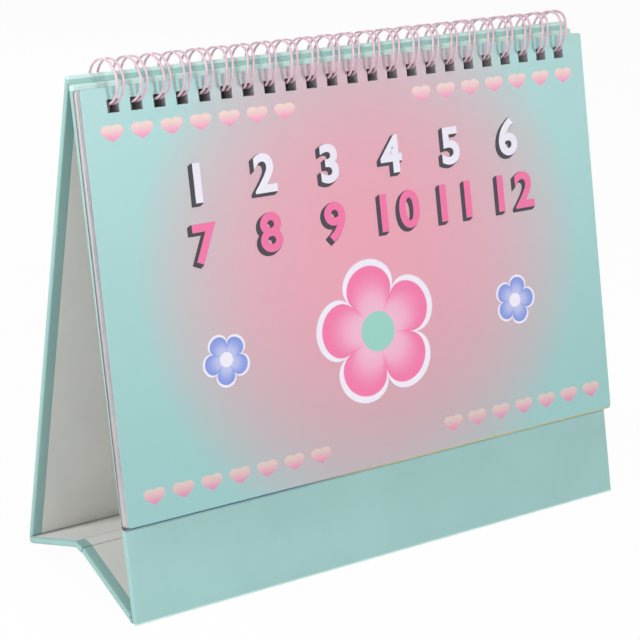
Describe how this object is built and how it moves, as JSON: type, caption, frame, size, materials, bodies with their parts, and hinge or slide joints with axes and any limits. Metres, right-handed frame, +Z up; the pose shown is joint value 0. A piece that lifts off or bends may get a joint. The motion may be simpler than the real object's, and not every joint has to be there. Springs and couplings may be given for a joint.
{
  "type": "flip calendar",
  "caption": "Wire-bound desk flip calendar on a folding board easel wrapped in mint paper, with a coated pink twin-loop wire, a pastel cover and month leaves that turn over the top.",
  "frame": {"origin": "centre of the rectangle that the stand covers on the table", "axes": "X along the width, -Y the side that the leaves face, Z up"},
  "size_m": [0.209, 0.0786, 0.1821],
  "materials": {
    "greyboard": "raw board",
    "wrap_paper": "satin mint",
    "lining_paper": "matte grey-white",
    "coated_wire": "satin pink coating",
    "cover_print": "smooth coated print",
    "leaf_paper": "smooth uncoated",
    "kraft_card": "raw kraft"
  },
  "bodies": {
    "front_panel": {"front_wrap": "wrap_paper", "front_board": "greyboard", "front_liner": "lining_paper", "top_hinge": "wrap_paper", "front_foot_hinge": "wrap_paper", "binding_wire": "coated_wire"},
    "back_panel": {"back_wrap": "wrap_paper", "back_board": "greyboard", "back_liner": "lining_paper", "rear_foot_hinge": "wrap_paper"},
    "base_front_panel": {"base_front_wrap": "wrap_paper", "base_front_board": "greyboard", "base_front_liner": "lining_paper", "base_ridge_hinge": "wrap_paper"},
    "base_rear_panel": {"base_rear_wrap": "wrap_paper", "base_rear_board": "greyboard", "base_rear_liner": "lining_paper"},
    "cover_sheet_leaf": {"cover_sheet": "cover_print"},
    "month_sheet_01_leaf": {"month_sheet_01": "leaf_paper"},
    "month_sheet_02_leaf": {"month_sheet_02": "leaf_paper"},
    "month_sheet_03_leaf": {"month_sheet_03": "leaf_paper"},
    "month_sheet_04_leaf": {"month_sheet_04": "leaf_paper"},
    "month_sheet_05_leaf": {"month_sheet_05": "leaf_paper"},
    "month_sheet_06_leaf": {"month_sheet_06": "leaf_paper"},
    "month_sheet_07_leaf": {"month_sheet_07": "leaf_paper"},
    "month_sheet_08_leaf": {"month_sheet_08": "leaf_paper"},
    "month_sheet_09_leaf": {"month_sheet_09": "leaf_paper"},
    "month_sheet_10_leaf": {"month_sheet_10": "leaf_paper"},
    "month_sheet_11_leaf": {"month_sheet_11": "leaf_paper"},
    "month_sheet_12_leaf": {"month_sheet_12": "leaf_paper"},
    "backing_sheet_leaf": {"backing_sheet": "kraft_card"}
  },
  "joints": [
    {"name": "stand_fold", "type": "hinge", "parent": "front_panel", "child": "back_panel", "pos_m": [0, 0.00019, 0.17345], "axis": [-1, 0, 0], "range_deg": [0, 15], "deforming": ["top_hinge", "front_foot_hinge", "rear_foot_hinge", "base_ridge_hinge"]},
    {"name": "base_front_fold", "type": "hinge", "parent": "front_panel", "child": "base_front_panel", "pos_m": [0, -0.03603, 0.00237], "axis": [1, 0, 0], "range_deg": [0, 57]},
    {"name": "base_rear_fold", "type": "hinge", "parent": "back_panel", "child": "base_rear_panel", "pos_m": [0, 0.03632, 0.00286], "axis": [-1, 0, 0], "range_deg": [0, 57]},
    {"name": "cover_sheet_turn", "type": "hinge", "parent": "front_panel", "child": "cover_sheet_leaf", "pos_m": [0, -0.0058, 0.17423], "axis": [-1, 0, 0], "range_deg": [0, 200]},
    {"name": "month_sheet_01_turn", "type": "hinge", "parent": "front_panel", "child": "month_sheet_01_leaf", "pos_m": [0, -0.0058, 0.17423], "axis": [-1, 0, 0], "range_deg": [0, 197.6]},
    {"name": "month_sheet_02_turn", "type": "hinge", "parent": "front_panel", "child": "month_sheet_02_leaf", "pos_m": [0, -0.0058, 0.17423], "axis": [-1, 0, 0], "range_deg": [0, 195.2]},
    {"name": "month_sheet_03_turn", "type": "hinge", "parent": "front_panel", "child": "month_sheet_03_leaf", "pos_m": [0, -0.0058, 0.17423], "axis": [-1, 0, 0], "range_deg": [0, 192.8]},
    {"name": "month_sheet_04_turn", "type": "hinge", "parent": "front_panel", "child": "month_sheet_04_leaf", "pos_m": [0, -0.0058, 0.17423], "axis": [-1, 0, 0], "range_deg": [0, 190.4]},
    {"name": "month_sheet_05_turn", "type": "hinge", "parent": "front_panel", "child": "month_sheet_05_leaf", "pos_m": [0, -0.0058, 0.17423], "axis": [-1, 0, 0], "range_deg": [0, 188]},
    {"name": "month_sheet_06_turn", "type": "hinge", "parent": "front_panel", "child": "month_sheet_06_leaf", "pos_m": [0, -0.0058, 0.17423], "axis": [-1, 0, 0], "range_deg": [0, 185.6]},
    {"name": "month_sheet_07_turn", "type": "hinge", "parent": "front_panel", "child": "month_sheet_07_leaf", "pos_m": [0, -0.0058, 0.17423], "axis": [-1, 0, 0], "range_deg": [0, 183.2]},
    {"name": "month_sheet_08_turn", "type": "hinge", "parent": "front_panel", "child": "month_sheet_08_leaf", "pos_m": [0, -0.0058, 0.17423], "axis": [-1, 0, 0], "range_deg": [0, 180.8]},
    {"name": "month_sheet_09_turn", "type": "hinge", "parent": "front_panel", "child": "month_sheet_09_leaf", "pos_m": [0, -0.0058, 0.17423], "axis": [-1, 0, 0], "range_deg": [0, 178.4]},
    {"name": "month_sheet_10_turn", "type": "hinge", "parent": "front_panel", "child": "month_sheet_10_leaf", "pos_m": [0, -0.0058, 0.17423], "axis": [-1, 0, 0], "range_deg": [0, 176]},
    {"name": "month_sheet_11_turn", "type": "hinge", "parent": "front_panel", "child": "month_sheet_11_leaf", "pos_m": [0, -0.0058, 0.17423], "axis": [-1, 0, 0], "range_deg": [0, 173.6]},
    {"name": "month_sheet_12_turn", "type": "hinge", "parent": "front_panel", "child": "month_sheet_12_leaf", "pos_m": [0, -0.0058, 0.17423], "axis": [-1, 0, 0], "range_deg": [0, 171.2]},
    {"name": "backing_sheet_turn", "type": "hinge", "parent": "front_panel", "child": "backing_sheet_leaf", "pos_m": [0, -0.0058, 0.17423], "axis": [-1, 0, 0], "range_deg": [0, 168.8]}
  ],
  "couplings": [
    {"joint": "base_front_fold", "follows": "stand_fold", "ratio": 3.8},
    {"joint": "base_rear_fold", "follows": "stand_fold", "ratio": 3.8},
    {"joint": "month_sheet_01_turn", "follows": "cover_sheet_turn", "ratio": 0.988},
    {"joint": "month_sheet_02_turn", "follows": "cover_sheet_turn", "ratio": 0.976},
    {"joint": "month_sheet_03_turn", "follows": "cover_sheet_turn", "ratio": 0.964},
    {"joint": "month_sheet_04_turn", "follows": "cover_sheet_turn", "ratio": 0.952},
    {"joint": "month_sheet_05_turn", "follows": "cover_sheet_turn", "ratio": 0.94},
    {"joint": "month_sheet_06_turn", "follows": "cover_sheet_turn", "ratio": 0.928},
    {"joint": "month_sheet_07_turn", "follows": "cover_sheet_turn", "ratio": 0.916},
    {"joint": "month_sheet_08_turn", "follows": "cover_sheet_turn", "ratio": 0.904},
    {"joint": "month_sheet_09_turn", "follows": "cover_sheet_turn", "ratio": 0.892},
    {"joint": "month_sheet_10_turn", "follows": "cover_sheet_turn", "ratio": 0.88},
    {"joint": "month_sheet_11_turn", "follows": "cover_sheet_turn", "ratio": 0.868},
    {"joint": "month_sheet_12_turn", "follows": "cover_sheet_turn", "ratio": 0.856},
    {"joint": "backing_sheet_turn", "follows": "cover_sheet_turn", "ratio": 0.844}
  ]
}
